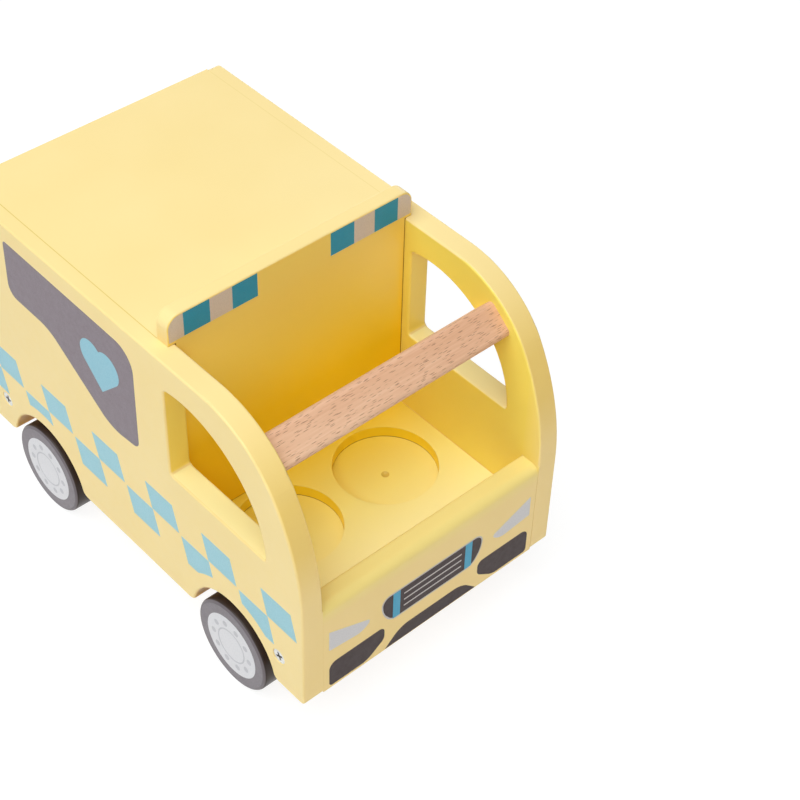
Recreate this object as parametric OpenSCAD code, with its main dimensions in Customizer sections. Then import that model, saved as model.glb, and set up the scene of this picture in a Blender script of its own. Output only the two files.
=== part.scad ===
// Wooden toy ambulance for peg dolls: an open cab with two round doll seats,
// a load bay behind a bulkhead, double rear doors and two free-running axles.
// Millimetres, +Z up, nose towards -Y, origin on the ground under the middle.

/* [Body] */
// Length from nose to tail
body_l = 227; // [215:1:250]
// Width over the two side panels
body_w = 140; // [130:1:155]
// Height of the side panels
side_h = 132.5; // [126:0.5:145]
// Thickness of the side panels
side_t = 10.5; // [9:0.5:12]
// Rounding of the panels' exposed edges
edge_r = 1; // [0.5:0.25:1.5]
// Radius of the side panels' bottom corners
corner_r = 2; // [2:0.5:8]
// Radius of the side panels' top rear corner
tail_r = 3; // [3:0.5:6]
// Depth of the housings that take the roof and the bulkhead
housing_d = 3.5; // [2:0.25:5]

/* [Front curve] */
// Run of the curve, back from the nose
curve_l = 57.8; // [55:0.2:64]
// Radius of the brow
brow_r = 50; // [46:0.5:54]
// Height above the panels' bottom edge where the nose turns upright
nose_h = 52; // [48:0.5:56]

/* [Cab windows] */
// Radius of the window's curved edge
window_r = 48.5; // [46:0.5:53]
// Centre of that curve, back from the nose
window_mid = 70.5; // [69:0.5:76]
// Upright rear edge of the window, back from the nose
window_back = 83; // [81:0.5:84]
// Height of the sill above the panels' bottom edge
sill_h = 70; // [66:0.5:73]
// Radius of the window's rear corners
window_corner_r = 2.5; // [2:0.5:6]
// Radius of the window's front tip
window_tip_r = 1.5; // [1.5:0.25:4]

/* [Bulkhead and roof] */
// Front face of the bulkhead, back from the nose
bulkhead_back = 87.2; // [86.5:0.1:92]
// Thickness of the bulkhead
bulkhead_t = 7; // [6:0.5:9]
// Height of the light bar, the part of the bulkhead that stands above the roof
lightbar_h = 13.8; // [10:0.2:18]
// Radius of the light bar's top corners
lightbar_r = 6; // [4:0.5:9]
// Thickness of the roof panel
roof_t = 9; // [8:0.5:11]

/* [Front panel and base] */
// Thickness of the front panel
front_t = 10.5; // [9:0.5:11.5]
// Rounding of its top front edge
front_r = 4; // [2:0.5:6]
// Rounding of its top rear edge
front_back_r = 1.5; // [1:0.25:3]
// Height of the cab floor above the panels' bottom edge
floor_h = 27.7; // [26:0.1:32]
// Thickness of the base board
base_t = 18; // [16:0.5:19.5]

/* [Doll seats] */
// Diameter of a round seat
seat_d = 47; // [40:0.5:50]
// Depth of a seat
seat_depth = 6; // [4:0.25:8]
// Distance of each seat from the middle plane
seat_x = 27.4; // [26:0.2:30]
// Seat centres, back from the nose
seat_back = 60.4; // [58:0.2:61]
// Diameter of the drill's centre mark
seat_mark_d = 4; // [2:0.5:6]

/* [Handle] */
// Side of the square handle bar
handle_s = 16; // [14:0.5:18]
// Rounding of its long edges
handle_r = 2.5; // [1:0.25:4]
// Distance of the bar's front face inside the brow
handle_setback = 4.75; // [4:0.25:7]
// Place of the bar round the brow, in degrees forward of straight up
handle_angle = 40; // [34:1:46]

/* [Wheels and axles] */
// Wheel diameter
wheel_d = 44.6; // [42:0.2:47]
// Wheel thickness
wheel_t = 11; // [10:0.25:11.5]
// How far the wheels stand out of the side panels
wheel_proud = 1.2; // [0.8:0.1:2]
// Rounding of the wheel's outer shoulder
wheel_r = 1.5; // [1:0.25:4]
// Axles, in from nose and tail
axle_inset = 46; // [44:0.5:50]
// Axles below the panels' bottom edge
axle_drop = 3.7; // [2:0.1:6]
// Gap between wheel and arch
arch_gap = 4.7; // [3:0.1:5]
// Radius of the arches' lower corners
arch_r = 4; // [2.5:0.5:5]
// Axle diameter
axle_d = 5; // [4:0.5:6]
// Wood left between the axle's end and the wheel's outer face
wheel_web = 3.2; // [2:0.2:5]
// Length of an axle block along the toy
block_l = 26; // [22:0.5:30]
// Wood under the axle
block_floor = 8; // [6:0.5:10]

/* [Rear doors] */
// Door thickness
door_t = 9.5; // [8:0.5:11]
// Gap round each door
door_gap = 0.6; // [0.4:0.05:1]
// Diameter of the finger hole where the doors meet
finger_d = 22; // [18:0.5:26]
// Depth of the rebate under the roof's rear edge that stops the doors
door_rebate = 2; // [1.5:0.25:3]
// Diameter of the pivot pins
pin_d = 4; // [3:0.25:5]

/* [Fixings] */
// Side screws, in from nose and tail
side_screw_inset = 15.5; // [15:0.25:18]
// Side screws above the panels' bottom edge
side_screw_h = 17.5; // [15:0.25:19]
// Head diameter of the screws
screw_head_d = 7.5; // [6.5:0.25:8.5]
// Shank diameter of the screws
screw_d = 4; // [3:0.25:4.5]
// Length of the side screws
side_screw_l = 35; // [30:0.5:40]
// Length of the axle block screws
block_screw_l = 32; // [29:0.5:34]
// Diameter of the dowels
dowel_d = 6; // [5:0.25:8]
// How far a dowel goes into each of the two pieces that it joins
dowel_grip = 6.5; // [5:0.25:7]

/* [Hidden] */
$fn = 96;

// Clearances: glued or pressed pieces, turning fits, pin ends and the overrun of cuts
glue_gap = 0.05;
turn_gap = 0.1;
end_gap = 0.3;
over = 1;

// Where two arcs meet: the grid of their centres, the nose arc's ease and the overrun in degrees
seam = 0.05;
nose_ease = 0.8;
over_turn = 5;

// Shares of the sizes that small details follow
seat_mark_share = 0.25;
screw_head_share = 0.4;
block_screw_share = 0.3;
front_dowel_shares = [0.3, 0.7];
door_edge_share = 0.15;
wheel_back_share = 0.5;
bulkhead_edge_share = 0.1;
pin_grip_share = 0.7;
middle_share = 0.5;

// Places that follow from the driving sizes
paint = "khaki";
wheel_rad = wheel_d / 2;
axle_z = wheel_rad;
panel_z = axle_z + axle_drop;
nose_y = -body_l / 2;
top_z = panel_z + side_h;
floor_z = panel_z + floor_h;
inner_x = body_w / 2 - side_t;
housed_x = inner_x + housing_d;
arch_rad = wheel_rad + arch_gap;
roof_y = nose_y + bulkhead_back + bulkhead_t;

// The brow arc and the larger nose arc that it runs into; arcs cross by a hair where they meet
brow_c = [curve_l, side_h - brow_r];
nose_dz = brow_c.y - nose_h;
nose_r = snap((curve_l ^ 2 + nose_dz ^ 2 - brow_r ^ 2) / (2 * (curve_l - brow_r)) - nose_ease);
nose_c = [nose_r, nose_h];
join_turn = 180 - atan2(nose_dz, nose_r - curve_l);

// Centres and turns of the window's rounded corners
window_c = [window_mid, sill_h];
window_low = [window_back - window_corner_r, sill_h + window_corner_r];
window_top_dx = window_low.x - window_mid;
window_top_dy = sqrt((window_r - window_corner_r) ^ 2 - window_top_dx ^ 2);
window_top = [window_low.x, sill_h + snap(window_top_dy + seam)];
window_top_turn = atan2(window_top.y - sill_h, window_top_dx);
window_tip_dx = snap(sqrt((window_r - window_tip_r) ^ 2 - window_tip_r ^ 2) + seam);
window_tip = [window_mid - window_tip_dx, sill_h + window_tip_r];
window_tip_turn = atan2(window_tip_r, -window_tip_dx);

// The rounded lower corners of a wheel arch, out from the axle
arch_foot_x = snap(sqrt((arch_rad + arch_r) ^ 2 - (axle_drop + arch_r) ^ 2) - seam);
arch_foot_turn = atan2(axle_drop + arch_r, arch_foot_x);

// The handle bar, seated on the brow's own radius
handle_reach = brow_r - handle_setback - handle_s / 2;
handle_y = nose_y + brow_c.x - handle_reach * sin(handle_angle);
handle_z = panel_z + brow_c.y + handle_reach * cos(handle_angle);

// Doors and their pivots
door_bottom = floor_z + door_gap;
door_h = top_z - roof_t + door_rebate - door_gap - door_bottom;
pivot_x = inner_x - door_gap - door_t / 2;
pivot_y = -nose_y - door_t / 2;
pin_grip = (roof_t - door_rebate) * pin_grip_share;

// Axle blocks and their screws
block_top = panel_z + floor_h - base_t;
block_bottom = axle_z - block_floor;
block_screw_x = inner_x * 2 * block_screw_share;
screw_head_h = screw_head_d * screw_head_share;

function along(c, r, turn) = [c.x + r * cos(turn), c.y + r * sin(turn)];

function snap(x) = round(x / seam) * seam;

// What is cut away outside an arc of radius r round c, within the corner that c and the other points make
module corner_waste(c, r, others) {
    difference() {
        polygon(concat([c], others));
        translate(c) circle(r);
    }
}

// The piece of a shape behind an arc of radius r round c, down to points inside the shape
module arc_piece(c, r, from, to, inside) {
    mid = (from + to) / 2;
    intersection() {
        translate(c) circle(r);
        polygon(concat(inside, [along(c, 2 * r, from), along(c, 2 * r, mid), along(c, 2 * r, to)]));
    }
}

// Section of the waste that rounds an edge: the first axis goes in from the edge, the second in from the face
module edge_waste(r) {
    difference() {
        translate([-over, -over]) square(r + over);
        translate([r, r]) circle(r);
    }
}

// Round-over cut along a straight edge from p to q, with the wood on its left
module round_line(p, q, r) {
    run = q - p;
    translate([p.x, p.y, 0]) rotate([0, 0, atan2(run.y, run.x)]) rotate([90, 0, 90])
        linear_extrude(norm(run)) edge_waste(r);
}

// Round-over cut along an arc with the wood inside it
module round_out(c, rad, from, to, r) {
    translate([c.x, c.y, 0]) rotate([0, 0, from]) rotate_extrude(angle = to - from)
        translate([rad, 0]) mirror([1, 0]) edge_waste(r);
}

// Round-over cut along an arc with the wood outside it
module round_in(c, rad, from, to, r) {
    translate([c.x, c.y, 0]) rotate([0, 0, from]) rotate_extrude(angle = to - from)
        translate([rad, 0]) edge_waste(r);
}

// A panel's own frame: back from the nose, up from its bottom edge, in from its outer face
module on_right_side() {
    translate([-body_w / 2, nose_y, panel_z]) rotate([90, 0, 90]) children();
}

// Mirror copies of one shape about the middle plane
module both_sides() {
    for (turn = [0, 1]) mirror([turn, 0, 0]) children();
}

// Copies at the front and the rear axle
module both_ends() {
    for (turn = [0, 1]) mirror([0, turn, 0]) children();
}

// What the brow and the nose arc cut off the panel's front
module front_waste() {
    brow_far = along(brow_c, 2 * brow_r, join_turn);
    nose_far = along(nose_c, 2 * nose_r, join_turn - over_turn);
    corner_waste(brow_c, brow_r, [[curve_l, side_h + over], [brow_far.x, side_h + over], brow_far]);
    corner_waste(nose_c, nose_r, [nose_far, [nose_far.x, nose_h]]);
}

// One wheel arch with its rounded feet, drawn round the axle
module arch_cut() {
    foot = [arch_foot_x, axle_drop + arch_r];
    circle(arch_rad);
    for (turn = [0, 1]) mirror([turn, 0]) corner_waste(foot, arch_r, [[foot.x, -over], [0, -over], [0, 0]]);
}

// The window opening
module window_cut() {
    top_in = along(window_c, window_r - over, window_top_turn);
    tip_in = along(window_c, window_r - over, window_tip_turn);
    tip_up = window_tip + [0, window_tip_r];
    top_up = window_top + [0, window_corner_r / 2];
    low = [window_back, sill_h];
    arc_piece(window_c, window_r, window_top_turn, window_tip_turn, [tip_in, window_c + [0, over], top_in]);
    arc_piece(window_tip, window_tip_r, window_tip_turn - over_turn, 270, [tip_up]);
    arc_piece(window_top, window_corner_r, 0, window_top_turn + over_turn, [[window_mid, window_top.y]]);
    difference() {
        polygon([tip_up, [window_tip.x, sill_h], low, [window_back, window_top.y], top_up]);
        corner_waste(window_low, window_corner_r, [[window_low.x, sill_h - over], low + [over, -over],
                                                   [window_back + over, window_low.y]]);
    }
}

// The side panel's outline, nose at zero
module side_outline() {
    tail_c = [body_l - tail_r, side_h - tail_r];
    nose_foot = [corner_r, corner_r];
    tail_foot = [body_l - corner_r, corner_r];
    difference() {
        square([body_l, side_h]);
        front_waste();
        window_cut();
        for (back = [axle_inset, body_l - axle_inset]) translate([back, -axle_drop]) arch_cut();
        corner_waste(nose_foot, corner_r, [[-over, corner_r], [-over, -over], [corner_r, -over]]);
        corner_waste(tail_foot, corner_r, [[tail_foot.x, -over], [body_l + over, -over],
                                           [body_l + over, corner_r]]);
        corner_waste(tail_c, tail_r, [[body_l + over, tail_c.y], [body_l, side_h] + [over, over],
                                      [tail_c.x, side_h + over]]);
    }
}

// Round-overs along the outline of the front curve, down to the nose
module round_front() {
    round_out(brow_c, brow_r, 90, join_turn, edge_r);
    round_out(nose_c, nose_r, 180, join_turn - over_turn, edge_r);
}

// Round-overs of one wheel arch
module round_arch(back) {
    low_turn = arch_foot_turn - over_turn;
    round_out([back - arch_foot_x, arch_r], arch_r, 270, 360 - arch_foot_turn, edge_r);
    for (to = [low_turn, 180 - low_turn]) round_in([back, -axle_drop], arch_rad, 90, to, edge_r);
    round_out([back + arch_foot_x, arch_r], arch_r, 270, 180 + arch_foot_turn, edge_r);
}

// Round-overs of the whole outer outline
module round_outline() {
    rear_axle_back = body_l - axle_inset;
    round_out([corner_r, corner_r], corner_r, 180, 270, edge_r);
    round_line([corner_r, 0], [axle_inset - arch_foot_x, 0], edge_r);
    round_arch(axle_inset);
    round_line([axle_inset + arch_foot_x, 0], [rear_axle_back - arch_foot_x, 0], edge_r);
    round_arch(rear_axle_back);
    round_line([rear_axle_back + arch_foot_x, 0], [body_l - corner_r, 0], edge_r);
    round_out([body_l - corner_r, corner_r], corner_r, 270, 360, edge_r);
    round_line([body_l, corner_r], [body_l, side_h - tail_r], edge_r);
    round_out([body_l - tail_r, side_h - tail_r], tail_r, 0, 90, edge_r);
    round_line([body_l - tail_r, side_h], [curve_l, side_h], edge_r);
    round_front();
    round_line([0, nose_h], [0, corner_r], edge_r);
}

// Round-overs of the window
module round_window() {
    round_line([window_back, window_top.y], [window_back, window_low.y], edge_r);
    round_in(window_low, window_corner_r, 270, 360, edge_r);
    round_line([window_low.x, sill_h], [window_tip.x, sill_h], edge_r);
    round_in(window_tip, window_tip_r, 270, window_tip_turn - over_turn, edge_r);
    for (to = [window_top_turn, window_tip_turn]) round_in(window_c, window_r, 90, to, edge_r);
    round_in(window_top, window_corner_r, 0, window_top_turn + over_turn, edge_r);
}

// Everything cut into a side panel's inner face: housings, dowel holes and the cab's rounded edges
module inner_face_cuts() {
    translate([bulkhead_back, floor_h, side_t - housing_d]) cube([bulkhead_t, side_h, housing_d + over]);
    translate([bulkhead_back + bulkhead_t, side_h - roof_t, side_t - housing_d])
        cube([body_l, roof_t + over, housing_d + over]);
    translate([handle_y - nose_y, handle_z - panel_z, side_t - dowel_grip])
        cylinder(d = dowel_d + 2 * glue_gap, h = dowel_grip + over);
    for (share = front_dowel_shares) translate([front_t / 2, nose_h * share, side_t - dowel_grip])
        cylinder(d = dowel_d + 2 * glue_gap, h = dowel_grip + over);
    translate([0, 0, side_t]) mirror([0, 0, 1]) {
        round_window();
        round_front();
        round_line([bulkhead_back, side_h], [curve_l, side_h], edge_r);
    }
}

// Hole for a countersunk screw that starts at a face, along +Z
module screw_hole(length) {
    translate([0, 0, -over]) cylinder(d = screw_d + 2 * glue_gap, h = length + end_gap + over);
    cylinder(d1 = screw_head_d + 2 * glue_gap, d2 = screw_d + 2 * glue_gap, h = screw_head_h);
    translate([0, 0, -over]) cylinder(d = screw_head_d + 2 * glue_gap, h = over);
}

// Countersunk wood screw, head at the face, along +Z
module wood_screw(length) {
    cylinder(d1 = screw_head_d, d2 = screw_d, h = screw_head_h);
    cylinder(d = screw_d, h = length - screw_d);
    translate([0, 0, length - screw_d]) cylinder(d1 = screw_d, d2 = 0, h = screw_d);
}

// Places of one side's screws, in the panel's own frame
module at_side_screws() {
    for (back = [side_screw_inset, body_l - side_screw_inset]) translate([back, side_screw_h, 0]) children();
}

// Side panel: arcs for brow, nose, window and arches, housings inside, rounded edges
module side_panel() {
    color(paint) on_right_side() difference() {
        linear_extrude(side_t) side_outline();
        round_outline();
        round_window();
        inner_face_cuts();
        at_side_screws() screw_hole(side_t);
    }
}

module right_side_panel() { side_panel(); }

module left_side_panel() { mirror([1, 0, 0]) side_panel(); }

// Roof: a flat board let into the tops of the side panels, with a rebate that stops the doors
module roof_panel() {
    color(paint) difference() {
        translate([-housed_x, roof_y, top_z - roof_t]) cube([2 * housed_x, -nose_y - roof_y, roof_t]);
        translate([housed_x, 0, top_z]) rotate([0, 180, 0])
            round_line([0, -nose_y], [2 * housed_x, -nose_y], edge_r);
        translate([-inner_x, -nose_y - door_t - door_gap, top_z - roof_t - over])
            cube([2 * inner_x, door_t + door_gap + over, door_rebate + over]);
        both_sides() translate([pivot_x, pivot_y, top_z - roof_t])
            cylinder(d = pin_d + 2 * turn_gap, h = door_rebate + pin_grip + end_gap);
    }
}

// Bulkhead: one board in the panels' housings, whose top stands up as the light bar
module bulkhead() {
    bulkhead_h = top_z + lightbar_h - floor_z;
    bar_h = bulkhead_h - lightbar_h;
    bar_c = [housed_x - lightbar_r, bulkhead_h - lightbar_r];
    ease_r = bulkhead_t * bulkhead_edge_share;
    color(paint) translate([0, roof_y, floor_z]) rotate([90, 0, 0]) difference() {
        linear_extrude(bulkhead_t) difference() {
            translate([-housed_x, 0]) square([2 * housed_x, bulkhead_h]);
            for (turn = [0, 1]) mirror([turn, 0])
                corner_waste(bar_c, lightbar_r, [[housed_x + over, bar_c.y],
                                                 [housed_x, bulkhead_h] + [over, over],
                                                 [bar_c.x, bulkhead_h + over]]);
        }
        for (turn = [0, 1]) translate([0, 0, turn * bulkhead_t]) mirror([0, 0, turn]) {
            for (flip = [0, 1]) mirror([flip, 0, 0]) {
                round_line([housed_x, bar_h], bar_c + [lightbar_r, 0], ease_r);
                round_out(bar_c, lightbar_r, 0, 90, ease_r);
            }
            round_line(bar_c + [0, lightbar_r], [-bar_c.x, bulkhead_h], ease_r);
        }
    }
}

// Front panel: a low board between the side panels with a rounded top
module front_panel() {
    front_c = [front_r, nose_h - front_r];
    back_c = [front_t - front_back_r, nose_h - front_back_r];
    color(paint) difference() {
        translate([-inner_x, nose_y, panel_z]) rotate([90, 0, 90]) linear_extrude(2 * inner_x) difference() {
            square([front_t, nose_h]);
            corner_waste(front_c, front_r, [[front_r, nose_h + over], [-over, nose_h + over],
                                            [-over, front_c.y]]);
            corner_waste(back_c, front_back_r, [[front_t + over, back_c.y], [front_t, nose_h] + [over, over],
                                                [back_c.x, nose_h + over]]);
        }
        both_sides() for (share = front_dowel_shares)
            translate([inner_x - dowel_grip, nose_y + front_t / 2, panel_z + nose_h * share])
                rotate([0, 90, 0]) cylinder(d = dowel_d + 2 * glue_gap, h = dowel_grip + over);
    }
}

// Base board: cab and bay floor in one, with the doll seats, screw holes and door pivots
module base_board() {
    seat_mark_h = seat_mark_d * seat_mark_share;
    seat_floor = floor_z - seat_depth;
    base_y = nose_y + front_t;
    color(paint) difference() {
        translate([-inner_x, base_y, floor_z - base_t]) cube([2 * inner_x, -nose_y - base_y, base_t]);
        both_sides() translate([seat_x, nose_y + seat_back, seat_floor]) {
            cylinder(d = seat_d, h = seat_depth + over);
            translate([0, 0, -seat_mark_h]) cylinder(d1 = 0, d2 = seat_mark_d, h = seat_mark_h);
        }
        both_sides() translate([pivot_x, pivot_y, floor_z - pin_grip - end_gap])
            cylinder(d = pin_d + 2 * turn_gap, h = pin_grip + end_gap + over);
        both_sides() on_right_side() at_side_screws() screw_hole(side_screw_l);
        both_ends() at_block_screws() screw_hole(block_screw_l);
    }
}

// Handle: a square beech bar across the cab, turned to follow the brow
module handle_bar() {
    flat = handle_s - 2 * handle_r;
    color("burlywood") difference() {
        translate([-inner_x, handle_y, handle_z]) rotate([90, 0, 90]) rotate([0, 0, handle_angle])
            linear_extrude(2 * inner_x) {
                square([handle_s, flat], center = true);
                square([flat, handle_s], center = true);
                for (x = [-flat, flat], y = [-flat, flat]) translate([x, y] / 2) circle(handle_r);
            }
        both_sides() translate([inner_x - dowel_grip, handle_y, handle_z]) rotate([0, 90, 0])
            cylinder(d = dowel_d + 2 * glue_gap, h = dowel_grip + over);
    }
}

// A beech dowel along X, halfway into each of the two pieces that meet at the panel's inner face
module dowel() {
    translate([inner_x - dowel_grip + end_gap, 0, 0]) rotate([0, 90, 0])
        cylinder(d = dowel_d, h = 2 * (dowel_grip - end_gap));
}

module handle_dowels() {
    color("tan") both_sides() translate([0, handle_y, handle_z]) dowel();
}

module front_panel_dowels() {
    color("tan") both_sides() for (share = front_dowel_shares)
        translate([0, nose_y + front_t / 2, panel_z + nose_h * share]) dowel();
}

// Countersunk screws through the side panels into the edges of the base board
module side_screws() {
    color("silver") both_sides() on_right_side() at_side_screws() wood_screw(side_screw_l);
}

// Places of the screws under the front axle block
module at_block_screws() {
    both_sides() translate([block_screw_x, nose_y + axle_inset - block_l / 4, block_bottom]) children();
    both_sides() translate([block_screw_x, nose_y + axle_inset + block_l / 4, block_bottom]) children();
}

// Axle block: a bar under the base board, bored across for the axle
module axle_block() {
    color("tan") difference() {
        translate([-inner_x, nose_y + axle_inset - block_l / 2, block_bottom])
            cube([2 * inner_x, block_l, block_top - block_bottom]);
        translate([-body_w / 2, nose_y + axle_inset, axle_z]) rotate([0, 90, 0])
            cylinder(d = axle_d + 2 * turn_gap, h = body_w);
        at_block_screws() screw_hole(block_screw_l);
    }
}

module front_axle_block() { axle_block(); }

module rear_axle_block() { mirror([0, 1, 0]) axle_block(); }

module axle_block_screws() {
    color("silver") both_ends() at_block_screws() wood_screw(block_screw_l);
}

// Steel axle that turns in its block
module axle() {
    axle_l = body_w + 2 * (wheel_proud - wheel_web);
    color("silver") translate([-axle_l / 2, nose_y + axle_inset, axle_z]) rotate([0, 90, 0])
        cylinder(d = axle_d, h = axle_l);
}

module front_axle() { axle(); }

module rear_axle() { mirror([0, 1, 0]) axle(); }

// Turned wheel with rounded shoulders, bored blind from its inner face; the front right one
module wheel() {
    back_r = wheel_r * wheel_back_share;
    face_c = [wheel_rad - wheel_r, wheel_r];
    back_c = [wheel_rad - back_r, wheel_t - back_r];
    bore_h = wheel_t - wheel_web;
    color("dimgray") translate([-body_w / 2 - wheel_proud, nose_y + axle_inset, axle_z]) rotate([0, 90, 0])
        difference() {
            rotate_extrude() difference() {
                square([wheel_rad, wheel_t]);
                corner_waste(face_c, wheel_r, [[face_c.x, -over], [wheel_rad + over, -over],
                                               [wheel_rad + over, wheel_r]]);
                corner_waste(back_c, back_r, [[wheel_rad + over, back_c.y],
                                              [wheel_rad, wheel_t] + [over, over],
                                              [back_c.x, wheel_t + over]]);
            }
            translate([0, 0, wheel_web - glue_gap]) cylinder(d = axle_d + 2 * glue_gap, h = bore_h + over);
        }
}

module front_right_wheel() { wheel(); }

module front_left_wheel() { mirror([1, 0, 0]) wheel(); }

module rear_right_wheel() { mirror([0, 1, 0]) wheel(); }

module rear_left_wheel() { mirror([1, 0, 0]) mirror([0, 1, 0]) wheel(); }

// Rear door: round hinge edge about its pins, half of the finger hole in its free edge; the left one
module rear_door() {
    free_x = door_gap * middle_share;
    ease_r = door_t * door_edge_share;
    color(paint) difference() {
        translate([0, pivot_y, door_bottom]) linear_extrude(door_h) {
            translate([pivot_x, 0]) circle(door_t / 2);
            translate([free_x + ease_r, -door_t / 2]) square([pivot_x - free_x - ease_r, door_t]);
            translate([free_x, ease_r - door_t / 2]) square([ease_r, door_t - 2 * ease_r]);
            for (y = [ease_r - door_t / 2, door_t / 2 - ease_r])
                translate([free_x + ease_r, y]) circle(ease_r);
        }
        translate([0, pivot_y + door_t, door_bottom + door_h / 2]) rotate([90, 0, 0])
            cylinder(d = finger_d, h = 2 * door_t);
        for (z = [door_bottom - over, door_bottom + door_h - pin_grip - end_gap])
            translate([pivot_x, pivot_y, z])
                cylinder(d = pin_d + 2 * glue_gap, h = pin_grip + end_gap + over);
    }
}

module right_rear_door() { mirror([1, 0, 0]) rear_door(); }

module left_rear_door() { rear_door(); }

// Steel pivot pins, pressed into the door and free in the base and the roof; the left door's
module door_pins() {
    pin_l = 2 * pin_grip + door_gap;
    color("silver") for (z = [door_bottom - door_gap - pin_grip, door_bottom + door_h - pin_grip])
        translate([pivot_x, pivot_y, z]) cylinder(d = pin_d, h = pin_l);
}

module right_door_pins() { mirror([1, 0, 0]) door_pins(); }

module left_door_pins() { door_pins(); }

right_side_panel();
left_side_panel();
roof_panel();
bulkhead();
front_panel();
base_board();
handle_bar();
handle_dowels();
front_panel_dowels();
side_screws();
front_axle_block();
rear_axle_block();
axle_block_screws();
front_axle();
rear_axle();
front_right_wheel();
front_left_wheel();
rear_right_wheel();
rear_left_wheel();
right_rear_door();
left_rear_door();
right_door_pins();
left_door_pins();
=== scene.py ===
import math

import bmesh
import bpy
from mathutils import Matrix, Vector


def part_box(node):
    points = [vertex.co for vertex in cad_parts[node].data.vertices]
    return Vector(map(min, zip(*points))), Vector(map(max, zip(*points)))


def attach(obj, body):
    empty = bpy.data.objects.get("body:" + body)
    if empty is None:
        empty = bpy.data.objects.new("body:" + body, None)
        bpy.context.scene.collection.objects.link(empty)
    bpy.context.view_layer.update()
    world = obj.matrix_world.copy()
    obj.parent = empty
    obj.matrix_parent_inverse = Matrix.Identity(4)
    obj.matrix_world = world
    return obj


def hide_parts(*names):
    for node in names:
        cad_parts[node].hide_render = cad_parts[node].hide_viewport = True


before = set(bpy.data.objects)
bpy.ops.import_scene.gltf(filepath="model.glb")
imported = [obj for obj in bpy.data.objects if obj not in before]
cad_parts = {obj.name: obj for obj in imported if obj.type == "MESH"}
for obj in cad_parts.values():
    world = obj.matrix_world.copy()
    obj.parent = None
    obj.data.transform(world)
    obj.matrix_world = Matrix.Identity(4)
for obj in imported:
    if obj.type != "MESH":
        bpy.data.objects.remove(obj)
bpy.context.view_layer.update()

# Side panels
# Two fibreboard panels, sawn to one outline with the cab window and the wheel arches. Their edges
# are rounded over with a router. They are sprayed in satin yellow enamel, and shade and light are
# painted into its colour: a deeper yellow inside the cab, in the arches, on the window's rear
# reveal, on the front board's top and along the curved front edge is painted shade and bounce
# light; the window sill is paler, as painted light; a darker line along the roof's joints is
# painted shade.

enamel_dark = "#F7D992"
enamel_light = "#FADD99"
# Painted shade and bounce light: the deeper yellow inside the cab.
cab_shade_tone = "#F9DF66"
# Painted shade: the darker yellow in the wheel arches.
arch_shade_tone = "#F2AE1E"
# Painted light: the paler yellow on the window sill.
lit_sill_tone = "#FFEDA8"
# Painted shade: the deeper yellow on the window's rear reveal.
reveal_shade_tone = "#F9D862"
# Painted shade: the darker line along the roof's joints with the panels.
seam_shade_tone = "#E3C46E"
# Painted shade: the deeper yellow along the curved front edge.
brow_shade_tone = "#F1CE76"
# Painted shade: the deeper yellow on the front board's top.
lip_shade_tone = "#F8E08C"
cloud_range = (0.3, 0.7)


def linear(code):
    """A colour written as #RRGGBB, as the shader wants it."""
    parts = [int(code[i:i + 2], 16) / 255 for i in (1, 3, 5)]
    return (*[c / 12.92 if c <= 0.04045 else ((c + 0.055) / 1.055) ** 2.4 for c in parts], 1.0)


def new_finish(name):
    """A material with its node tree, its shader and the piece's own coordinates."""
    finish = bpy.data.materials.new(name)
    finish.use_nodes = True
    tree = finish.node_tree
    where = tree.nodes.new("ShaderNodeTexCoord").outputs["Object"]
    return finish, tree, tree.nodes["Principled BSDF"], where


def stretched(tree, where, per_metre):
    """Coordinates counted in features per metre along X, Y and Z."""
    mapping = tree.nodes.new("ShaderNodeMapping")
    mapping.inputs["Scale"].default_value = per_metre
    tree.links.new(where, mapping.inputs["Vector"])
    return mapping.outputs["Vector"]


def cloud(tree, where, scale, detail=2.0):
    """Soft random patches from 0 to 1."""
    noise = tree.nodes.new("ShaderNodeTexNoise")
    noise.inputs["Scale"].default_value = scale
    noise.inputs["Detail"].default_value = detail
    tree.links.new(where, noise.inputs["Vector"])
    return noise.outputs[0]


def graded(tree, share, *stops):
    """Colours along a share from 0 to 1, each stop a place and a colour."""
    ramp = tree.nodes.new("ShaderNodeValToRGB")
    elements = ramp.color_ramp.elements
    while len(elements) < len(stops):
        elements.new(0.5)
    for element, (place, code) in zip(elements, stops):
        element.position = place
        element.color = linear(code)
    tree.links.new(share, ramp.inputs["Fac"])
    return ramp.outputs["Color"]


def spread(tree, share, source, target=(0.0, 1.0)):
    """A share taken from one range to another, held at its ends."""
    change = tree.nodes.new("ShaderNodeMapRange")
    for socket, value in zip(("From Min", "From Max", "To Min", "To Max"), (*source, *target)):
        change.inputs[socket].default_value = value
    tree.links.new(share, change.inputs["Value"])
    return change.outputs["Result"]


def mottled(tree, share, deep, light):
    """Two near tones that follow a cloud."""
    return graded(tree, share, *zip(cloud_range, (deep, light)))


def roughened(tree, shader, share, low, high):
    """A roughness that wanders with a cloud."""
    rough = spread(tree, share, cloud_range, (low, high))
    tree.links.new(rough, shader.inputs["Roughness"])


def relief(tree, height, depth, below=None):
    """Raises the surface by a height from 0 to 1, over a depth in metres."""
    bump = tree.nodes.new("ShaderNodeBump")
    bump.inputs["Distance"].default_value = depth
    tree.links.new(height, bump.inputs["Height"])
    if below is not None:
        tree.links.new(below, bump.inputs["Normal"])
    return bump.outputs["Normal"]


def blended(tree, share, under, over, kind="MIX"):
    """One colour laid over another by a share, which is a number or a socket."""
    mix = tree.nodes.new("ShaderNodeMix")
    mix.data_type = "RGBA"
    mix.blend_type = kind
    for socket, value in zip((mix.inputs[0], mix.inputs[6], mix.inputs[7]), (share, under, over)):
        if isinstance(value, bpy.types.NodeSocket):
            tree.links.new(value, socket)
        else:
            socket.default_value = value
    return mix.outputs[2]


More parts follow.
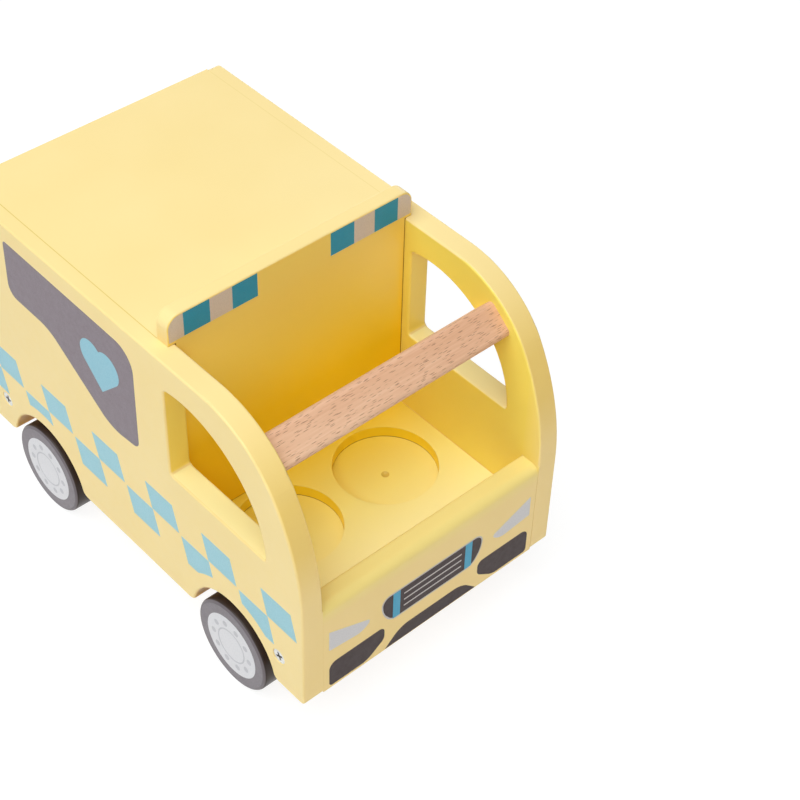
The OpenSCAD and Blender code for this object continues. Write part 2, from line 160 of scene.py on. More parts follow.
def worked(tree, operation, first, second=None):
    """A sum on one or two shares."""
    step = tree.nodes.new("ShaderNodeMath")
    step.operation = operation
    tree.links.new(first, step.inputs[0])
    if second is not None:
        tree.links.new(second, step.inputs[1])
    return step.outputs[0]


def axes(tree, where):
    """The coordinates taken apart into X, Y and Z."""
    split = tree.nodes.new("ShaderNodeSeparateXYZ")
    tree.links.new(where, split.inputs[0])
    return split.outputs


def inside(tree, where, low, high, fade):
    """One in a box on both sides of the middle plane, fading out over a short way."""
    x, y, z = axes(tree, where)
    aside = worked(tree, "ABSOLUTE", x)
    total = None
    for place, near, far in zip((aside, y, z), low, high):
        for source in ((near - fade, near), (far + fade, far)):
            share = spread(tree, place, source)
            total = share if total is None else worked(tree, "MULTIPLY", total, share)
    return total


def outer_coat(tree, where):
    """The yellow of the outside, a little uneven from place to place."""
    return mottled(tree, cloud(tree, where, 16), enamel_dark, enamel_light)


def spray(tree, shader, where, colour):
    """Satin enamel over a colour, with the slight orange peel that a spray gun leaves."""
    tree.links.new(colour, shader.inputs["Base Color"])
    roughened(tree, shader, cloud(tree, where, 220, 3), 0.36, 0.46)
    settled = relief(tree, cloud(tree, where, 90, 1), 12e-6)
    tree.links.new(relief(tree, cloud(tree, where, 800, 1), 5e-6, settled), shader.inputs["Normal"])


mm = 0.001
panel_low, panel_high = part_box("right_side_panel")
inner_x, outer_x = -panel_high.x, -panel_low.x
bulk_low, bulk_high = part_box("bulkhead")
roof_low, roof_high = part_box("roof_panel")
floor_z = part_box("base_board")[1].z
cab_front, front_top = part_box("front_panel")[1].yz
hair = 0.3 * mm
fine = 0.05 * mm
edge_round = 1.0 * mm
cab_shade_front = cab_front - hair
cab_shade_top = panel_high.z - 3 * hair
arch_reach = 27.0 * mm
sill_z = panel_low.z + 70.0 * mm
window_front = panel_low.y + 22.0 * mm
window_rear = panel_low.y + 83.0 * mm
window_top = sill_z + 46.0 * mm
cheek_share = (0.4, 0.95)
lip_foot, lip_full = front_top - 9.0 * mm, front_top - 2.0 * mm
brow_foot, brow_full, brow_fade, brow_end = [panel_low.z + up * mm for up in (63, 86, 104, 131)]
seam_half = 0.2 * mm
seam_share = (0.3, 1.0)
enamel_gloss = 0.32

enamel, tree, shader, where = new_finish("yellow_enamel")
x, y, z = axes(tree, where)
# Painted shade and bounce light inside the cab, and on the panels' inner faces above the front
# board, growing towards the rear.
cab_shaded = inside(tree, where, (0, cab_shade_front, floor_z + hair),
               (inner_x + hair, bulk_low.y + hair, cab_shade_top), hair)
cheek = inside(tree, where, (inner_x - hair, panel_low.y + edge_round, front_top),
               (inner_x + hair, cab_shade_front, cab_shade_top), hair)
behind = spread(tree, y, (panel_low.y, cab_shade_front), cheek_share)
cab_shaded = worked(tree, "MAXIMUM", cab_shaded, worked(tree, "MULTIPLY", cheek, behind))
painted = blended(tree, cab_shaded, outer_coat(tree, where), linear(cab_shade_tone))

# Painted shade on the front board's upper edge, stronger towards its top.
lip_shade = inside(tree, where, (0, panel_low.y, lip_foot),
             (inner_x, cab_shade_front, front_top), hair)
lip_shade = worked(tree, "MULTIPLY", lip_shade, spread(tree, z, (lip_foot, lip_full)))
painted = blended(tree, lip_shade, painted, linear(lip_shade_tone))

# Painted shade along the curved front edge of the panels, strongest halfway up the brow.
brow_shade = inside(tree, where, (inner_x + edge_round, panel_low.y, panel_low.z),
              (outer_x - edge_round, bulk_low.y, panel_high.z), edge_round)
climb = spread(tree, z, (brow_foot, brow_full))
crest = spread(tree, z, (brow_fade, brow_end), (1.0, 0.0))
brow_shade = worked(tree, "MULTIPLY", brow_shade, worked(tree, "MULTIPLY", climb, crest))
painted = blended(tree, brow_shade, painted, linear(brow_shade_tone))

# Painted shade in the wheel arches.
for block in ("front_axle_block", "rear_axle_block"):
    axle_y = (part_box(block)[0].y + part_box(block)[1].y) / 2
    arch_low = (inner_x - hair, axle_y - arch_reach, 0)
    arch_high = (outer_x - edge_round, axle_y + arch_reach, panel_low.z + arch_reach)
    arch_shade = inside(tree, where, arch_low, arch_high, edge_round)
    painted = blended(tree, arch_shade, painted, linear(arch_shade_tone))

# Painted light on the window sill.
lit_sill = inside(tree, where, (inner_x + hair, window_front, sill_z - hair),
              (outer_x - edge_round, window_rear, sill_z + hair), hair)
painted = blended(tree, lit_sill, painted, linear(lit_sill_tone))
# Painted shade on the window's rear reveal.
reveal_shade = inside(tree, where, (inner_x + hair, window_rear - hair, sill_z + 2 * hair),
                (outer_x - edge_round, window_rear + hair, window_top), hair)
painted = blended(tree, reveal_shade, painted, linear(reveal_shade_tone))

# Painted shade along the roof's joints, full on the right and fainter on the left.
seam_shade = inside(tree, where, (roof_high.x - seam_half, bulk_high.y, roof_high.z - hair),
              (roof_high.x + seam_half, roof_high.y, roof_high.z), fine)
seam_shade = worked(tree, "MULTIPLY", seam_shade, spread(tree, x, (roof_high.x, roof_low.x), seam_share))
painted = blended(tree, seam_shade, painted, linear(seam_shade_tone))
spray(tree, shader, where, painted)
shader.inputs["Specular IOR Level"].default_value = enamel_gloss

for node in ("right_side_panel", "left_side_panel"):
    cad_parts[node].material_slots[0].material = enamel

# Boards between the panels
# The base with its two turned doll seats, the bulkhead, the roof and the low front are boards of
# the same fibreboard, glued between the panels. Their arrises are broken with sandpaper, so most
# joints show as a fine line. Shade is painted into the cab's floor and back: deeper tones towards
# the bulkhead, in the seat recesses and their dimples, and painted shadow lines in the corners.

sanded = 0.35 * mm
merge_gap = 0.001 * mm
sliver = 0.01 * mm
joined_flat = math.radians(0.5)
arris = math.radians(50)
soft_turn = math.radians(28)


def sanded_board(node):
    """The board's solid as one clean skin, its sharp outer edges broken but for the roof's sides.
    """
    board = bmesh.new()
    board.from_mesh(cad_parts[node].data)
    bmesh.ops.remove_doubles(board, verts=board.verts, dist=merge_gap)
    bmesh.ops.dissolve_limit(board, angle_limit=joined_flat, verts=board.verts,
                             edges=board.edges)
    flush = roof_high.x - hair if node == "roof_panel" else math.inf
    edges = [e for e in board.edges if e.is_convex and e.calc_face_angle(0) > arris
             and min(abs(v.co.x) for v in e.verts) < flush]
    bmesh.ops.bevel(board, geom=edges, offset=sanded, segments=2, profile=0.5,
                    affect="EDGES", clamp_overlap=False, material=-1)
    bmesh.ops.dissolve_degenerate(board, dist=sliver, edges=board.edges)
    return board


def add_piece(name, shape, *finishes):
    """Turns a finished shape into a piece of the toy."""
    mesh = bpy.data.meshes.new(name)
    shape.to_mesh(mesh)
    shape.free()
    if "custom_normal" in mesh.attributes:
        mesh.attributes.remove(mesh.attributes["custom_normal"])
    for finish in finishes:
        mesh.materials.append(finish)
    mesh.shade_smooth()
    mesh.set_sharp_from_angle(angle=soft_turn)
    piece = bpy.data.objects.new(name, mesh)
    bpy.context.collection.objects.link(piece)
    flats = piece.modifiers.new("flat faces stay flat", "WEIGHTED_NORMAL")
    flats.keep_sharp = True
    return piece


# Painted shade on the cab floor: deepest at the bulkhead, palest at the front board.
floor_shade_rear = "#F3D13C"
floor_shade_mid = "#FBEA8C"
floor_shade_front = "#FCF1B4"
# Painted shade in the seats: deeper walls, a shadow line at their foot and a darker dimple.
seat_wall_shade = "#FFDC24"
seat_shadow_line = "#A0761A"
pip_shade_tone = "#DDBE58"
# Painted shade and bounce light on the bulkhead's cab face, deeper at its foot.
bulk_shade_foot = "#FFD01A"
bulk_shade_brow = "#FFDC70"
# Painted shadow: the dark lines where the bulkhead meets the panels and the floor.
joint_shadow_tone = "#96680F"

seat_low = floor_z - 6.0 * mm
wall_low, wall_high = seat_low + 0.5 * mm, floor_z - 0.4 * mm
line_low, line_high = seat_low + 0.1 * mm, seat_low + 0.4 * mm
pip_low, pip_high = seat_low - 4.0 * mm, seat_low - 0.1 * mm

floor_enamel, tree, shader, where = new_finish("floor_enamel")
# Painted shade, deepest at the bulkhead and palest at the front board, then painted shade in the
# seat recesses.
ahead = spread(tree, axes(tree, where)["Y"], (bulk_low.y, cab_front))
painted = graded(tree, ahead, (0.0, floor_shade_rear), (0.45, floor_shade_mid), (0.9, floor_shade_front))
# Painted shade on the seat walls, a painted shadow line at their foot, and painted shade in the
# dimple.
for low, high, fade, tone in ((wall_low, wall_high, 2 * fine, seat_wall_shade),
                              (line_low, line_high, fine, seat_shadow_line),
                              (0, pip_high, fine, pip_shade_tone)):
    layer = inside(tree, where, (0, cab_front, low), (inner_x, bulk_low.y, high), fade)
    painted = blended(tree, layer, painted, linear(tone))
cab = inside(tree, where, (0, cab_shade_front, pip_low), (inner_x, bulk_high.y, floor_z), hair)
spray(tree, shader, where, blended(tree, cab, outer_coat(tree, where), painted))

beyond = 1.0
bulkhead_gloss = 0.2
face_y = bulk_low.y - hair

bulkhead_enamel, tree, shader, where = new_finish("bulkhead_enamel")
# Painted shade and bounce light on the cab face, deeper towards the foot.
rise = spread(tree, axes(tree, where)["Z"], (floor_z, bulk_high.z))
bulkhead_shade = graded(tree, rise, (0.35, bulk_shade_foot), (0.9, bulk_shade_brow))
face_top = bulk_high.z - 2 * hair
face = inside(tree, where, (0, face_y, 0), (beyond, bulk_low.y, face_top), hair)
# Painted shadow lines where the bulkhead meets the panels and the floor.
edge = inside(tree, where, (inner_x - hair, face_y, floor_z),
              (beyond, bulk_low.y, panel_high.z), hair)
foot = inside(tree, where, (0, face_y, 0), (beyond, bulk_low.y, floor_z + hair), hair)
painted = blended(tree, face, outer_coat(tree, where), bulkhead_shade)
joint_shadows = worked(tree, "MAXIMUM", edge, foot)
spray(tree, shader, where, blended(tree, joint_shadows, painted, linear(joint_shadow_tone)))
shader.inputs["Specular IOR Level"].default_value = bulkhead_gloss

board_finish = {"base_board": floor_enamel, "bulkhead": bulkhead_enamel,
                "roof_panel": enamel, "front_panel": enamel}
for node, finish in board_finish.items():
    board = add_piece(node + "_sanded", sanded_board(node), finish)
    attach(board, "van_body")
    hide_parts(node)

# Handle bar, dowels and axle blocks
# Planed steamed beech, left bare under a thin matt varnish. The grain runs across the toy, with
# the short dark flecks that beech shows on its flat faces.

fleck_tone = "#84543C"
fleck_depth = 0.75
band_depth = 0.6

beech, tree, shader, where = new_finish("bare_beech")
bands = cloud(tree, stretched(tree, where, (5, 70, 70)), 1.0, 1)
fibres = cloud(tree, stretched(tree, where, (45, 1100, 1100)), 1.0, 4)
wood = graded(tree, fibres, (0.25, "#DEAE8F"), (0.5, "#E6B999"), (0.75, "#EDC4A6"))
warmth = mottled(tree, bands, "#EEDACB", "#FFFFFF")
banded = blended(tree, band_depth, wood, warmth, "MULTIPLY")
cells = tree.nodes.new("ShaderNodeTexVoronoi")
cells.inputs["Scale"].default_value = 1.0
tree.links.new(stretched(tree, where, (180, 2200, 2200)), cells.inputs["Vector"])
flecks = spread(tree, cells.outputs["Distance"], (0.17, 0.29), (1.0, 0.0))
stain = spread(tree, flecks, (0.0, 1.0), (0.0, fleck_depth))
flecked = blended(tree, stain, banded, linear(fleck_tone))
tree.links.new(flecked, shader.inputs["Base Color"])
roughened(tree, shader, fibres, 0.48, 0.62)
grain = relief(tree, fibres, 14e-6)
pores = relief(tree, spread(tree, flecks, (0.0, 1.0), (1.0, 0.0)), 30e-6, grain)
tree.links.new(pores, shader.inputs["Normal"])

for node in ("handle_bar", "handle_dowels", "front_panel_dowels",
             "front_axle_block", "rear_axle_block"):
    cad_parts[node].material_slots[0].material = beech

# Wood screws
# Zinc-plated countersunk screws with a cross recess: four through the panels into the base, and
# eight up through the axle blocks. Each is driven a little below the face. Its recess is painted
# dark grey, as painted shade.

driven = 0.3 * mm
head_radius = 3.55 * mm
head_height = 2.7 * mm
shank_radius = 2.0 * mm
core_radius = 1.35 * mm
pitch = 1.8 * mm
cross_reach = 2.0 * mm
cross_half = 0.5 * mm
cross_depth = 1.7 * mm
cross_taper = 0.4
plain_share = 0.3
point_taper = 0.08
thread_root = 0.9 * core_radius
thread_crest = shank_radius - 0.02 * mm
thread_half = 0.2 * pitch
turn_steps = 16

zinc, tree, shader, where = new_finish("zinc_plate")
shader.inputs["Metallic"].default_value = 1.0
plating = mottled(tree, cloud(tree, where, 900, 3), "#CFCECC", "#E2E2E0")
tree.links.new(plating, shader.inputs["Base Color"])
roughened(tree, shader, cloud(tree, where, 1500), 0.22, 0.38)
tree.links.new(relief(tree, cloud(tree, where, 2500), 3e-6), shader.inputs["Normal"])

# Painted shade: the cross recess in a dark dull grey.
shaded_recess_zinc, tree, shader, where = new_finish("shaded_recess_zinc")
recess_shade = mottled(tree, cloud(tree, where, 900, 3), "#4A4440", "#5C5650")
tree.links.new(recess_shade, shader.inputs["Base Color"])
roughened(tree, shader, cloud(tree, where, 1500), 0.5, 0.65)


def moved_on(shape, edges, rise, scale):
    """Draws a ring of edges out along Z and changes its width; gives the new ring."""
    new = bmesh.ops.extrude_edge_only(shape, edges=edges)["geom"]
    verts = [g for g in new if isinstance(g, bmesh.types.BMVert)]
    bmesh.ops.translate(shape, vec=(0, 0, rise), verts=verts)
    bmesh.ops.scale(shape, vec=(scale, scale, 1), verts=verts)
    edges = [g for g in new if isinstance(g, bmesh.types.BMEdge)]
    return [e for e in edges if all(v in verts for v in e.verts)]


def screw_mesh(length):
    """One screw along +Z, its head at zero."""
    shape = bmesh.new()
    rim = bmesh.ops.create_circle(shape, segments=2 * turn_steps, radius=head_radius)["verts"]
    rim_edges = list({e for v in rim for e in v.link_edges})
    arm = [(cross_half, cross_reach), (cross_half, cross_half), (cross_reach, cross_half)]
    quarters = [Matrix.Rotation(-i * math.pi / 2, 2) for i in range(4)]
    cross = [shape.verts.new((quarter @ Vector(p)).to_3d()) for quarter in quarters for p in arm]
    cross_edges = [shape.edges.new(pair) for pair in zip(cross, cross[1:] + cross[:1])]
    bmesh.ops.triangle_fill(shape, edges=rim_edges + cross_edges, use_beauty=True)
    head = set(shape.faces)
    floor_ring = moved_on(shape, cross_edges, cross_depth, cross_taper)
    bmesh.ops.contextual_create(shape, geom=floor_ring)
    for face in shape.faces:
        face.material_index = 0 if face in head else 1
    ring = moved_on(shape, rim_edges, head_height, shank_radius / head_radius)
    plain = plain_share * length
    threaded = length - plain
    ring = moved_on(shape, ring, plain - head_height, 1.0)
    ring = moved_on(shape, ring, shank_radius - core_radius, core_radius / shank_radius)
    ring = moved_on(shape, ring, threaded - 3 * shank_radius, 1.0)
    ring = moved_on(shape, ring, 2 * shank_radius, point_taper)
    bmesh.ops.contextual_create(shape, geom=ring)
    turns = int((threaded - 2.5 * shank_radius) / pitch)
    profile = [(thread_root, plain), (thread_crest, plain + thread_half),
               (thread_root, plain + 2 * thread_half)]
    thread = [shape.verts.new((r, 0, z)) for r, z in profile]
    blade = [shape.edges.new((thread[i - 1], thread[i])) for i in range(3)]
    bmesh.ops.spin(shape, geom=thread + blade, axis=(0, 0, 1), angle=turns * 2 * math.pi,
                   steps=turns * turn_steps, dvec=(0, 0, pitch / turn_steps))
    bmesh.ops.holes_fill(shape, edges=[e for e in shape.edges if e.is_boundary], sides=3)
    bmesh.ops.recalc_face_normals(shape, faces=shape.faces)
    mesh = bpy.data.meshes.new("screw")
    shape.to_mesh(mesh)
    shape.free()
    return mesh


def set_screws(name, node, length, places):
    """Copies of one screw at each place, as one piece that stands for the node."""
    screw = screw_mesh(length)
    rack = bmesh.new()
    for place in places:
        first = len(rack.verts)
        rack.from_mesh(screw)
        rack.verts.ensure_lookup_table()
        bmesh.ops.transform(rack, matrix=place, verts=rack.verts[first:])
    bmesh.ops.recalc_face_normals(rack, faces=rack.faces)
    screws = add_piece(name, rack, zinc, shaded_recess_zinc)
    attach(screws, "van_body")
    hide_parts(node)


side_length = 34.0 * mm
side_inset = 15.5 * mm
side_rise = 17.5 * mm
side_turn = 3.0
side_places = []
for side in (-1, 1):
    inwards = Matrix.Rotation(-side * math.pi / 2, 4, "Y")
    for y in (panel_low.y + side_inset, panel_high.y - side_inset):
        spot = Vector((side * (outer_x - driven), y, panel_low.z + side_rise))
        twist = Matrix.Rotation(side_turn * y / panel_high.y + side, 4, "Z")
        side_places.append(Matrix.Translation(spot) @ inwards @ twist)
set_screws("side_screws_zinc", "side_screws", side_length, side_places)

block_length = 31.0 * mm
block_reach = 35.7 * mm
block_half = 6.5 * mm
block_turn_x, block_turn_y = 90, 60
block_places = []
for block in ("front_axle_block", "rear_axle_block"):
    low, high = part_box(block)
    for x in (-block_reach, block_reach):
        for y in (-block_half, block_half):
            spot = Vector((x, (low.y + high.y) / 2 + y, low.z + driven))
            twist = Matrix.Rotation(block_turn_x * x + block_turn_y * y, 4, "Z")
            block_places.append(Matrix.Translation(spot) @ twist)
set_screws("axle_block_screws_zinc", "axle_block_screws", block_length, block_places)

# Axles and wheels
# Steel rods turn freely in the blocks, with a turned wooden wheel pressed on each end. The wheels
# are dipped in black gloss lacquer that keeps faint rings from the lathe. A thin grey band along
# the outer edge of the face is painted reflection, the sheen that the black edge catches.

# Painted reflection: a grey band along the wheel's outer edge.
sheen_band = 0.5 * mm
sheen_fade = 0.3 * mm
rim_sheen_tone = "#6F666A"
lacquer_gloss = 0.16

steel, tree, shader, where = new_finish("drawn_steel")
shader.inputs["Metallic"].default_value = 1.0
drawn = cloud(tree, stretched(tree, where, (60, 2500, 2500)), 1.0, 3)
tree.links.new(mottled(tree, drawn, "#A9A7A4", "#CBCAC7"), shader.inputs["Base Color"])
roughened(tree, shader, drawn, 0.25, 0.4)
tree.links.new(relief(tree, drawn, 4e-6), shader.inputs["Normal"])
for node in ("front_axle", "rear_axle", "right_door_pins", "left_door_pins"):
    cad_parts[node].material_slots[0].material = steel

lacquer, tree, shader, where = new_finish("black_lacquer")
lathe = cloud(tree, stretched(tree, where, (1600, 60, 60)), 1.0, 3)
black = mottled(tree, cloud(tree, where, 60), "#332925", "#3D322E")
wheel_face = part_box("front_left_wheel")[1].x
# Painted reflection on the outer edge of the face.
rim = inside(tree, where, (wheel_face - sheen_band, -beyond, 0),
             (wheel_face, beyond, beyond), sheen_fade)
tree.links.new(blended(tree, rim, black, linear(rim_sheen_tone)), shader.inputs["Base Color"])
shader.inputs["Specular IOR Level"].default_value = lacquer_gloss
roughened(tree, shader, lathe, 0.28, 0.4)
tree.links.new(relief(tree, lathe, 9e-6), shader.inputs["Normal"])
wheels = {"front_right_wheel": "front_wheelset", "front_left_wheel": "front_wheelset",
          "rear_right_wheel": "rear_wheelset", "rear_left_wheel": "rear_wheelset"}
for node in wheels:
    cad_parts[node].material_slots[0].material = lacquer

# Wheel prints
# Each outer face has a grey sidewall ring, which is painted reflection: it stands for the sheen of
# the black lacquer, laid on as a film like the ink. Over it a pale hub disc is pad-printed, and on
# that a thin ring and ten small bolt marks. Half of the first coat sinks in, and every coat lies on
# the one below.

ink_coat = 0.05 * mm
first_coat, second_coat, third_coat = 0.5, 1.5, 2.5
sidewall_radius = 20.8 * mm
hub_radius = 16.0 * mm
ring_radius = 8.2 * mm
ring_width = 0.75 * mm
bolt_circle = 11.8 * mm
bolt_radius = 1.5 * mm
bolts = 10
disc_steps, ring_steps, bolt_steps = 96, 72, 20


def ink_finish(name, code, deep, gloss=0.5):
    """Screen ink with the fine speckle of its mesh."""
    ink, tree, shader, where = new_finish(name)
    shader.inputs["Specular IOR Level"].default_value = gloss
    dots = cloud(tree, where, 1400, 2)
    tree.links.new(graded(tree, dots, (0.3, deep), (0.6, code)), shader.inputs["Base Color"])
    roughened(tree, shader, cloud(tree, where, 300), 0.4, 0.52)
    tree.links.new(relief(tree, dots, 3e-6), shader.inputs["Normal"])
    return ink


# Painted reflection: the grey sidewall ring stands for the sheen of the black lacquer.
sidewall_sheen_ink = ink_finish("sidewall_sheen_ink", "#7C7378", "#746B70")
hub_ink = ink_finish("hub_ink", "#DEDADC", "#D7D3D6")
bolt_ink = ink_finish("bolt_ink", "#C4C0C4", "#BDB9BD")


def coat(shape, faces, coats, index=0):
    """Gives flat faces their thickness of ink, so that its top is so many coats high."""
    for face in faces:
        face.material_index = index
    verts = list({v for f in faces for v in f.verts})
    bmesh.ops.translate(shape, vec=(0, 0, (coats - 1) * ink_coat), verts=verts)
    new = bmesh.ops.extrude_face_region(shape, geom=faces)["geom"]
    top = [g for g in new if isinstance(g, bmesh.types.BMVert)]
    bmesh.ops.translate(shape, vec=(0, 0, ink_coat), verts=top)


def disc(shape, radius, centre=(0, 0, 0), steps=disc_steps):
    """A flat round face."""
    verts = bmesh.ops.create_circle(shape, cap_ends=True, segments=steps, radius=radius,
                                    matrix=Matrix.Translation(centre))["verts"]
    return list({f for v in verts for f in v.link_faces})


def wheel_print():
    """The print and the painted sheen ring of one wheel, round the origin and facing +Z."""
    shape = bmesh.new()
    sidewall, hub, mark = range(3)
    coat(shape, disc(shape, sidewall_radius), first_coat, sidewall)
    coat(shape, disc(shape, hub_radius), second_coat, hub)
    for i in range(bolts):
        turn = 2 * math.pi * (i + 0.5) / bolts
        spot = (bolt_circle * math.cos(turn), bolt_circle * math.sin(turn), 0)
        coat(shape, disc(shape, bolt_radius, spot, bolt_steps), third_coat, mark)
    loops = [bmesh.ops.create_circle(shape, segments=ring_steps, radius=r)["verts"]
             for r in (ring_radius, ring_radius + ring_width)]
    edges = list({e for verts in loops for v in verts for e in v.link_edges})
    ring = bmesh.ops.bridge_loops(shape, edges=edges)["faces"]
    coat(shape, ring, third_coat, mark)
    bmesh.ops.recalc_face_normals(shape, faces=shape.faces)
    return shape


for node, body in wheels.items():
    low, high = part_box(node)
    side = -1 if "right" in node else 1
    face_x = low.x if side < 0 else high.x
    spot = Matrix.Translation((face_x, (low.y + high.y) / 2, (low.z + high.z) / 2))
    outwards = Matrix.Rotation(side * math.pi / 2, 4, "Y")
    print_shape = wheel_print()
    bmesh.ops.transform(print_shape, matrix=spot @ outwards, verts=print_shape.verts)
    hub = add_piece(node + "_print", print_shape, sidewall_sheen_ink, hub_ink, bolt_ink)
    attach(hub, body)

# Side prints
# Screen prints on each panel: the grey rear window with a plain heart on it, and two rows of
# leaning blue checks. The ink stops short of the wheel arches. Places are in millimetres from the
# panel's lower front corner.

checks = 6
check_slant = 3.7
check_run = 18.5
check_pitch = 38.1
check_first = 216.3
upper_row = (51.4, 37.4)
lower_row = (37.0, 22.7)
lower_lead = 14.6
arch_keep = 34.4
arch_centres = (46.0, 181.0)
arch_drop = -3.7
print_ends = (3.6, 223.5)
window_corners = [(192.4, 123.5, 2.0), (193.5, 93.9, 6.0), (164.3, 93.4, 6.0),
                  (123.4, 66.4, 7.0), (103.8, 68.6, 3.6), (102.5, 122.1, 11.0)]
heart_side = 15.6
heart_centre = (127.0, 95.2)
round_steps, arch_steps, heart_steps = 8, 10, 20

window_ink = ink_finish("window_ink", "#7F7077", "#77686F")
check_ink = ink_finish("check_ink", "#9AC9D3", "#92C2CD")
heart_ink = ink_finish("heart_ink", "#8CC0CF", "#85B9C9")


def outlined(shape, corners):
    """A flat face from corners given as two places and how far the corner's round runs."""
    before = set(shape.faces)
    verts = [shape.verts.new((u * mm, v * mm, 0)) for u, v, _ in corners]
    shape.faces.new(verts)
    for vert, (_, _, run) in zip(verts, corners):
        if run:
            bmesh.ops.bevel(shape, geom=[vert], offset=run * mm, segments=round_steps,
                            profile=0.5, affect="VERTICES", clamp_overlap=True, material=-1)
    return [face for face in shape.faces if face not in before]


def laid_on(shape, name, ink, place):
    """Puts a finished print on its board."""
    bmesh.ops.transform(shape, matrix=place, verts=shape.verts)
    bmesh.ops.recalc_face_normals(shape, faces=shape.faces)
    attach(add_piece(name, shape, ink), "van_body")


def printed(name, ink, coats, place, outlines):
    """A print of one ink, each outline a list of corners."""
    shape = bmesh.new()
    for corners in outlines:
        coat(shape, outlined(shape, corners), coats)
    laid_on(shape, name, ink, place)


def heart_printed(name, place):
    """A square on its corner with a half round on each upper side, drawn as one outline."""
    shape = bmesh.new()
    reach = heart_side * mm / math.sqrt(2)
    start = shape.verts.new((reach, 0, 0))
    bmesh.ops.spin(shape, geom=[start], axis=(0, 0, 1), cent=(reach / 2, reach / 2, 0),
                   angle=math.pi, steps=heart_steps)
    tip = shape.verts.new((0, -reach, 0))
    shape.edges.new((tip, start))
    half = list(shape.verts) + list(shape.edges)
    bmesh.ops.mirror(shape, geom=half, axis="X", merge_dist=sliver)
    bmesh.ops.remove_doubles(shape, verts=shape.verts, dist=sliver)
    centre = Vector((*heart_centre, 0)) * mm
    bmesh.ops.translate(shape, vec=centre, verts=shape.verts)
    heart = bmesh.ops.contextual_create(shape, geom=list(shape.edges))["faces"]
    coat(shape, heart, second_coat)
    laid_on(shape, name, heart_ink, place)


def above_arches(top, foot):
    """The end of a line from top towards foot, short of the wheel arches."""
    share = 1.0
    run = foot - top
    for centre in arch_centres:
        off = top - Vector((centre, arch_drop))
        half = off.dot(run) / run.dot(run)
        gap = (off.dot(off) - arch_keep ** 2) / run.dot(run)
        if half < 0 and half * half > gap:
            share = min(share, -half - math.sqrt(half * half - gap))
    return top + share * run


def check_outlines():
    """The leaning checks of both rows, from the tail to the nose."""
    for row, lead in ((upper_row, 0.0), (lower_row, lower_lead)):
        for i in range(checks):
            start = check_first - i * check_pitch + lead
            rear = min(start, print_ends[1])
            front = max(start - check_run, print_ends[0] + check_slant)
            places = [rear + (front - rear) * s / arch_steps for s in range(arch_steps + 1)]
            tops = [Vector((y, row[0])) for y in places]
            feet = [above_arches(top, Vector((top.x - check_slant, row[1]))) for top in tops]
            yield [(p.x, p.y, 0) for p in [tops[0], tops[-1]] + feet[::-1]]


for side, word in ((-1, "right"), (1, "left")):
    place = Matrix(((0, 0, side, side * outer_x), (1, 0, 0, panel_low.y),
                    (0, 1, 0, panel_low.z), (0, 0, 0, 1)))
    printed(word + "_rear_window_print", window_ink, first_coat, place, [window_corners])
    heart_printed(word + "_heart_print", place)
    printed(word + "_check_print", check_ink, first_coat, place, check_outlines())

# Light bar print
# Blue and grey blocks screened on both faces of the bulkhead's raised top, from the ends towards
# the middle, which stays yellow. Places are in millimetres from the middle of the roof's top.

bar_low = 1.4
bar_top = 13.05
bar_round = 5.3
bar_blocks = {"blue": ((42.3, 55.0, 0), (18.8, 31.3, 0)),
              "grey": ((31.3, 42.3, 0), (55.0, 62.25, bar_round))}
bar_inks = {"blue": ink_finish("bar_blue_ink", "#0894BA", "#058CB2", 0.4),
            "grey": ink_finish("bar_grey_ink", "#DAC9BE", "#D2C1B6")}


def both_ways(corners):
    """An outline on the right and its mirror image on the left."""
    return [[(side * u, v, run) for u, v, run in corners] for side in (-1, 1)]


def bar_outlines(word):
    """The blocks of one colour; only the outermost has a rounded upper corner."""
    for near, far, run in bar_blocks[word]:
        yield from both_ways([(near, bar_low, 0), (far, bar_low, 0),
                              (far, bar_top, run), (near, bar_top, 0)])


for face, y, out in (("front", bulk_low.y, -1), ("rear", bulk_high.y, 1)):
    place = Matrix(((1, 0, 0, 0), (0, 0, out, y), (0, 1, 0, roof_high.z), (0, 0, 0, 1)))
    for word, ink in bar_inks.items():
        name = "light_bar_" + face + "_" + word
        printed(name, ink, first_coat, place, bar_outlines(word))

# Front prints
# Headlamps, fog lamps, a lower intake and a plain slatted grille, screened on the front board.
# The grille has a pale line round it and a blue upright near each end. Places are in millimetres
# from the middle of the board's foot.

head_corners = [(56.4, 36.2, 0.4), (34.0, 27.2, 2.0), (38.0, 22.6, 4.0), (56.5, 24.8, 0.4)]
fog_corners = [(56.4, 16.0, 4.0), (26.5, 16.0, 3.0), (26.5, 8.2, 2.0),
               (36.0, 1.5, 2.5), (56.4, 1.5, 2.0)]
intake_corners = [(26.0, 0.6, 0), (17.6, 8.7, 4.5), (-17.6, 8.7, 4.5), (-26.0, 0.6, 0)]
grille_corners = [(28.4, 33.8, 4.5), (28.4, 25.0, 4.0), (23.4, 17.0, 3.5),
                  (-23.4, 17.0, 3.5), (-28.4, 25.0, 4.0), (-28.4, 33.8, 4.5)]
grille_line = 0.75
grille_waist = 2.0
slat_heights = (21.6, 25.4, 29.2)
slat_half = 0.35
slat_end = 16.2
slat_round = 0.2
upright_corners = [(18.3, 17.75, 0), (22.2, 17.75, 0), (22.2, 33.05, 0), (18.3, 33.05, 0)]

dark_ink = ink_finish("front_dark_ink", "#3B2C2D", "#342627", 0.25)
lamp_ink = ink_finish("lamp_ink", "#D4D2D8", "#CDCBD2")
line_ink = ink_finish("grille_line_ink", "#C9C2C2", "#C2BBBB")
upright_ink = ink_finish("upright_ink", "#44A5CC", "#3D9EC6", 0.35)


